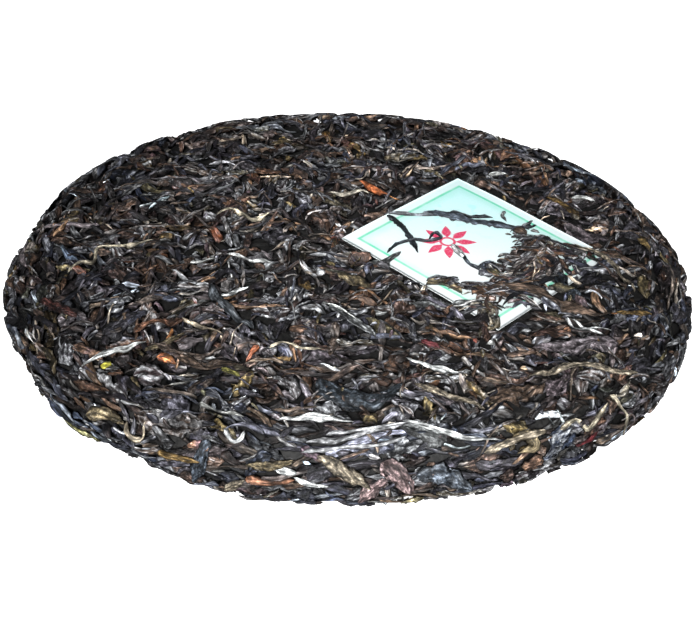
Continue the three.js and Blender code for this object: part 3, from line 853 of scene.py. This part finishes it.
class Finish:
    """A new material with its Principled shader, and short ways to add nodes to it."""

    def __init__(self, name, roughness, specular):
        self.material = bpy.data.materials.new(name)
        self.material.use_nodes = True
        self.tree = self.material.node_tree
        self.surface = self.tree.nodes["Principled BSDF"]
        self.put("Roughness", roughness)
        self.put("Specular IOR Level", specular)

    def put(self, socket, value, node=None):
        """Gives a value or another node's output to a socket of a node, or else of the Principled shader."""
        socket = (self.surface if node is None else node).inputs[socket]
        if isinstance(value, bpy.types.NodeSocket):
            self.tree.links.new(value, socket)
        else:
            socket.default_value = value

    def add(self, kind, *inputs, **values):
        """A new node. The inputs fill its sockets in order. A value whose name has a capital goes to the
        socket of that name, and the others are the node's own settings."""
        node = self.tree.nodes.new("ShaderNode" + kind)
        for name, value in values.items():
            if name.islower():
                setattr(node, name, value)
            else:
                self.put(name, value, node)
        for index, value in enumerate(inputs):
            self.put(index, value, node)
        return node

    def attribute(self, name, output):
        return self.add("Attribute", attribute_name=name).outputs[output]

    def calc(self, operation, *values):
        return self.add("Math", *values, operation=operation).outputs[0]

    def vector(self, operation, *values, **scale):
        return self.add("VectorMath", *values, operation=operation, **scale).outputs[0]

    def ramp(self, value, low, high, start=0.0, end=1.0):
        return self.add("MapRange", value, low, high, start, end).outputs[0]

    def noise(self, place, scale, detail, roughness=0.5):
        node = self.add("TexNoise", Vector=place, Scale=scale, Detail=detail, Roughness=roughness)
        return node.outputs["Fac"]

    def mixed(self, share, under, over):
        node = self.add("Mix", share, data_type="RGBA")
        self.put(6, under, node)
        self.put(7, over, node)
        return node.outputs[2]

    def bump(self, strength, distance, height):
        node = self.add("Bump", Strength=strength, Distance=distance, Height=height)
        self.put("Normal", node.outputs["Normal"])


# How fine the grain of a leaf is along it, across it and from leaf to leaf, and its roughness.
FIBRES = (0.4, 2.6, 1.0)
CRINKLES = (1.1, 2.0, 1.0)
BLOTCHES = (0.45, 0.6, 1.7)
LEAF_ROUGHNESS = 0.45


def leaf_material(name, grain):
    """Dried leaf: fibres or crinkles over the leaf's own tint, darker between them partly as painted shade,
    and pale along their ridges with hair and painted highlight.
    """
    finish = Finish(name, LEAF_ROUGHNESS, 0.3)
    tint, own = finish.attribute("tint", "Color"), finish.attribute("leaf", "Vector")
    fine = finish.noise(finish.vector("MULTIPLY", own, grain), 1.0, 5, 0.6)
    blotch = finish.noise(finish.vector("MULTIPLY", own, BLOTCHES), 1.0, 4, 0.6)
    # Painted shade and highlight: the noise that raises the bump also darkens the colour where it is low and
    # lightens it where it is high.
    power = finish.ramp(finish.calc("ADD", blotch, fine), 0.65, 1.35, -3.3, 3.3)
    body = finish.vector("SCALE", tint, Scale=finish.calc("POWER", 2.0, power))
    pale = finish.vector("MULTIPLY_ADD", tint, (3.0, 3.0, 3.0), (0.13, 0.134, 0.14))
    # Pale hair on the highest fibres, partly a painted highlight.
    hair_and_highlight = finish.ramp(fine, 0.55, 0.65, 0.0, 0.85)
    amount = finish.calc("MULTIPLY", hair_and_highlight, finish.ramp(blotch, 0.48, 0.6))
    finish.put("Base Color", finish.mixed(amount, body, pale))
    finish.put("Roughness", finish.ramp(blotch, 0.3, 0.7, LEAF_ROUGHNESS - 0.12, LEAF_ROUGHNESS + 0.2))
    finish.bump(1.0, 0.0006, fine)
    return finish.material


# The crumb's colour, darkened as painted shade for the gaps between the leaves.
CRUMB_AND_GAP_SHADE = (0.02, 0.019, 0.018)


def core_material():
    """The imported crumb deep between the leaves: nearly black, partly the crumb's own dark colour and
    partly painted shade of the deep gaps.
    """
    finish = Finish("packed_crumb_and_gap_shade", 0.7, 0.3)
    grain = finish.noise(finish.add("NewGeometry").outputs["Position"], 600.0, 4)
    tone = finish.ramp(grain, 0.3, 0.75, 0.1, 0.8)
    finish.put("Base Color", finish.vector("SCALE", CRUMB_AND_GAP_SHADE, Scale=tone))
    finish.bump(0.8, 0.0006, grain)
    return finish.material


# The core's rings and spokes, and where along the skin of the base it is no longer drawn in.
CORE_RINGS = 110
CORE_SPOKES = 220
DRAWN_IN_TO = 135
DRAWN_IN_FADE = 15


def cake_core():
    """The core below the leaves: a closed body with a finely creased skin, its base and hollow included."""
    rings, spokes = CORE_RINGS, CORE_SPOKES
    along = np.linspace(0, SKIN_LENGTH, rings + 2)[1:-1]
    angle = np.arange(spokes) / spokes * TAU
    radius, level, out_r, out_z = (np.interp(along, SKIN[0], row) for row in SKIN[1:])
    crease = 0
    for _ in range(8):
        lean = rng.uniform(-0.4, 0.4) * along[:, None] + rng.uniform(0, TAU)
        crease = crease + rng.normal(0, 0.25) * np.sin(rng.integers(20, 60) * angle + lean)
    drawn_in = set_to_skin(along, 0) * np.clip((DRAWN_IN_TO - along) / DRAWN_IN_FADE, 0, 1)
    depth = drawn_in[:, None] - CORE_DEPTH + 0.4 * np.tanh(crease)
    r = np.maximum(out_of_round(radius[:, None], angle) + depth * out_r[:, None], 0.2)
    z = level[:, None] + depth * out_z[:, None]
    body = np.stack([r * np.cos(angle), r * np.sin(angle), z + 0 * angle], -1).reshape(-1, 3)
    poles = np.array([[0, 0, HEIGHT - CORE_DEPTH], [0, 0, HOLLOW_DEPTH + CORE_DEPTH]])
    ring = np.arange(spokes)
    after = (ring + 1) % spokes
    base = np.arange(rings - 1)[:, None] * spokes
    sides = np.stack([base + ring, base + spokes + ring, base + spokes + after, base + after], -1)
    last = (rings - 1) * spokes
    top = np.stack([np.full(spokes, len(body)), ring, after], 1)
    bottom = np.stack([np.full(spokes, len(body) + 1), last + after, last + ring], 1)
    faces = [sides.reshape(-1, 4), np.concatenate([top, bottom])]
    piece = mesh_piece("cake_core", np.concatenate([body, poles]) * MM, faces)
    piece.data.materials.append(core_material())
    return piece


# The ticket's print: its colours, the thin frame and the rosette.
WHITE = (0.86, 0.9, 0.9, 1)
AQUA = (0.48, 0.93, 0.92, 1)
GREEN_LINE = (0.1, 0.68, 0.42, 1)
CRIMSON = (0.68, 0.04, 0.12, 1)
FRAME_INSET = 3.9
FRAME_WIDTH = 0.8
ROSETTE_AT = (28.8, 4.4)
ROSETTE_PETALS = 8
ROSETTE_INNER = 2.2
ROSETTE_OUTER = 9.4
PETAL_WIDTH = 1.3


def paper_material():
    """White paper printed pale green inside a thin green frame, with a crimson rosette on it."""
    finish = Finish("ticket_print", 0.5, 0.3)
    calc, ramp = finish.calc, finish.ramp

    def times(one, other):
        return calc("MULTIPLY", one, other)

    def minus(one, other):
        return calc("SUBTRACT", one, other)

    own = finish.attribute("leaf", "Vector")
    place = finish.add("SeparateXYZ", own)
    a, b = place.outputs[0], place.outputs[1]
    fibre, faded = finish.noise(own, 1.4, 4), finish.noise(own, 0.22, 3)
    edge_a = minus(TICKET_SHORT / 2, calc("ABSOLUTE", a))
    edge_b = minus(TICKET_LONG / 2, calc("ABSOLUTE", b))
    inset = minus(calc("MINIMUM", edge_a, edge_b), FRAME_INSET)
    towards_top = minus(times(a, 0.6), times(b, 0.5))
    ground = times(ramp(towards_top, -10.0, 34.0, 0.06, 0.9), ramp(inset, -0.3, 0.5, 0.45, 1.0))
    blots = times(ramp(faded, 0.56, 0.66), ramp(towards_top, 0.0, 16.0, 0.0, 0.3))
    ground = calc("ADD", ground, times(blots, ramp(inset, 2.0, 4.0)))
    half = FRAME_WIDTH / 2
    line = minus(1.0, ramp(calc("ABSOLUTE", inset), half - 0.15, half + 0.35))
    glow = times(minus(1.0, ramp(inset, 0.0, 4.0)), ramp(inset, -0.5, 0.0, 0.0, 0.35))
    line = times(calc("MAXIMUM", line, glow), ramp(faded, 0.3, 0.7, 0.6, 1.0))

    centre_a, centre_b = from_ticket(*ROSETTE_AT)
    x, y = minus(a, float(centre_a)), minus(b, float(centre_b))
    far = calc("SQRT", calc("ADD", times(x, x), times(y, y)))
    turn = calc("ARCTAN2", y, x)
    wave = calc("ABSOLUTE", calc("SINE", times(turn, ROSETTE_PETALS / 2)))
    aside = times(wave, times(far, 2 / ROSETTE_PETALS))
    share = ramp(far, ROSETTE_INNER, ROSETTE_OUTER)
    petal = times(calc("SINE", times(share, math.pi)), PETAL_WIDTH)
    petals = ramp(minus(petal, aside), -0.05, 0.2)
    ring = minus(1.0, ramp(calc("ABSOLUTE", minus(far, ROSETTE_INNER)), 0.3, 0.6))
    figure = times(calc("MAXIMUM", petals, ring), ramp(fibre, 0.3, 0.5, 0.7, 1.0))

    colour = finish.mixed(ground, WHITE, AQUA)
    colour = finish.mixed(line, colour, GREEN_LINE)
    colour = finish.mixed(figure, colour, CRIMSON)
    finish.put("Base Color", finish.vector("SCALE", colour, Scale=ramp(fibre, 0.3, 0.7, 0.95, 1.0)))
    finish.bump(0.15, 0.0002, fibre)
    return finish.material


def ticket_sheet():
    """The paper itself, a thin closed sheet with its slight waves."""
    rows, cols = 56, 64
    a = np.linspace(-TICKET_SHORT / 2, TICKET_SHORT / 2, rows)[:, None] + np.zeros(cols)
    b = np.linspace(-TICKET_LONG / 2, TICKET_LONG / 2, cols)[None, :] + np.zeros((rows, 1))
    p, q = on_ticket(a, b)
    middle = ticket_height(a, b)
    over = on_cake(p, q, middle + PAPER / 2).reshape(-1, 3)
    under = on_cake(p, q, middle - PAPER / 2).reshape(-1, 3)
    cell = np.arange(rows - 1)[:, None] * cols + np.arange(cols - 1)[None, :]
    quad = np.stack([cell, cell + 1, cell + cols + 1, cell + cols], -1).reshape(-1, 4)
    count = rows * cols
    rim = np.concatenate([
        np.arange(cols), np.arange(2, rows) * cols - 1,
        count - 1 - np.arange(cols), np.arange(rows - 2, 0, -1) * cols,
    ])
    after = np.roll(rim, -1)
    walls = np.stack([rim, rim + count, after + count, after], 1)
    own = np.stack([a, b, 0 * a], -1).reshape(-1, 3)
    piece = mesh_piece("ticket_sheet", np.concatenate([over, under]) * MM,
                       [np.concatenate([quad[:, ::-1], quad + count, walls])],
                       np.ones((2 * count, 3)), np.concatenate([own, own]))
    piece.data.materials.append(paper_material())
    return piece


def white_floor():
    """The plain floor, which shines white and throws no light on the cake."""
    bpy.ops.mesh.primitive_plane_add(size=4)
    floor = bpy.context.object
    floor.name = "floor"
    finish = Finish("floor_white", 0.9, 0.1)
    finish.put("Base Color", (0.97, 0.97, 0.97, 1))
    finish.put("Emission Color", (1, 1, 1, 1))
    finish.put("Emission Strength", 1.0)
    floor.data.materials.append(finish.material)
    floor.visible_diffuse = False
    floor.visible_glossy = False


# The studio: a soft lamp low over the cake's near side, and a pale sky. Places are in metres.
LAMP_AT = Vector((-0.06, -0.765, 0.42))
LAMP_TARGET = Vector((0.009, -0.057, 0.015))
LAMP_POWER = 130
LAMP_SIZE = 0.11
LAMP_CONE = math.radians(16.6)
LAMP_WHITE = (0.985, 0.99, 1)
SKY_WHITE = (0.94, 0.97, 1, 1)
SKY_STRENGTH = 0.18


def lighting():
    light = bpy.data.lights.new("key", "SPOT")
    light.energy = LAMP_POWER
    light.shadow_soft_size = LAMP_SIZE
    light.spot_size = LAMP_CONE
    light.spot_blend = 1.0
    light.color = LAMP_WHITE
    lamp = bpy.data.objects.new("key", light)
    lamp.location = LAMP_AT
    lamp.rotation_euler = (LAMP_TARGET - LAMP_AT).to_track_quat("-Z", "Y").to_euler()
    bpy.context.scene.collection.objects.link(lamp)
    world = bpy.data.worlds.new("studio")
    world.use_nodes = True
    sky = world.node_tree.nodes["Background"]
    sky.inputs["Color"].default_value = SKY_WHITE
    sky.inputs["Strength"].default_value = SKY_STRENGTH
    bpy.context.scene.world = world


# The photo's camera: where it stands, how far it looks down, how far it is turned, and its lens.
EYE = (0.0009, -0.4581, 0.2783)
LOOK_DOWN = math.radians(31.6)
TURN = math.radians(1.99)
LENS_PIXELS = 1800
PHOTO_WIDTH = 700
SENSOR = 36


def photo_camera():
    data = bpy.data.cameras.new("camera")
    data.sensor_width = SENSOR
    data.lens = LENS_PIXELS / PHOTO_WIDTH * SENSOR
    camera = bpy.data.objects.new("camera", data)
    camera.location = EYE
    tilt = Euler((math.pi / 2 - LOOK_DOWN, 0, 0)).to_matrix()
    camera.rotation_euler = (tilt @ Matrix.Rotation(TURN, 3, "Z")).to_euler()
    bpy.context.scene.collection.objects.link(camera)
    bpy.context.scene.camera = camera
    bpy.context.scene.view_settings.view_transform = "Standard"


def main():
    photo_camera()
    lighting()
    white_floor()
    core = cake_core()
    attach(core, "root")
    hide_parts("tea_cake")
    ticket = ticket_sheet()
    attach(ticket, "root")
    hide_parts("ticket")
    for make, from_base, suffix in ((face_leaves, False, ""), (base_leaves, True, "_below")):
        leaves, heap = make()
        shown = [part for part in (shown_stretch(leaf, heap) for leaf in leaves) if part is not None]
        for kind, made in KINDS.items():
            piece = join_leaves(kind + suffix, [leaf for leaf in shown if leaf["kind"] == kind], from_base)
            grain = CRINKLES if made["form"] is sheet else FIBRES
            piece.data.materials.append(leaf_material(kind + suffix, grain))
            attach(piece, "root")
            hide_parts("tea_cake")


main()
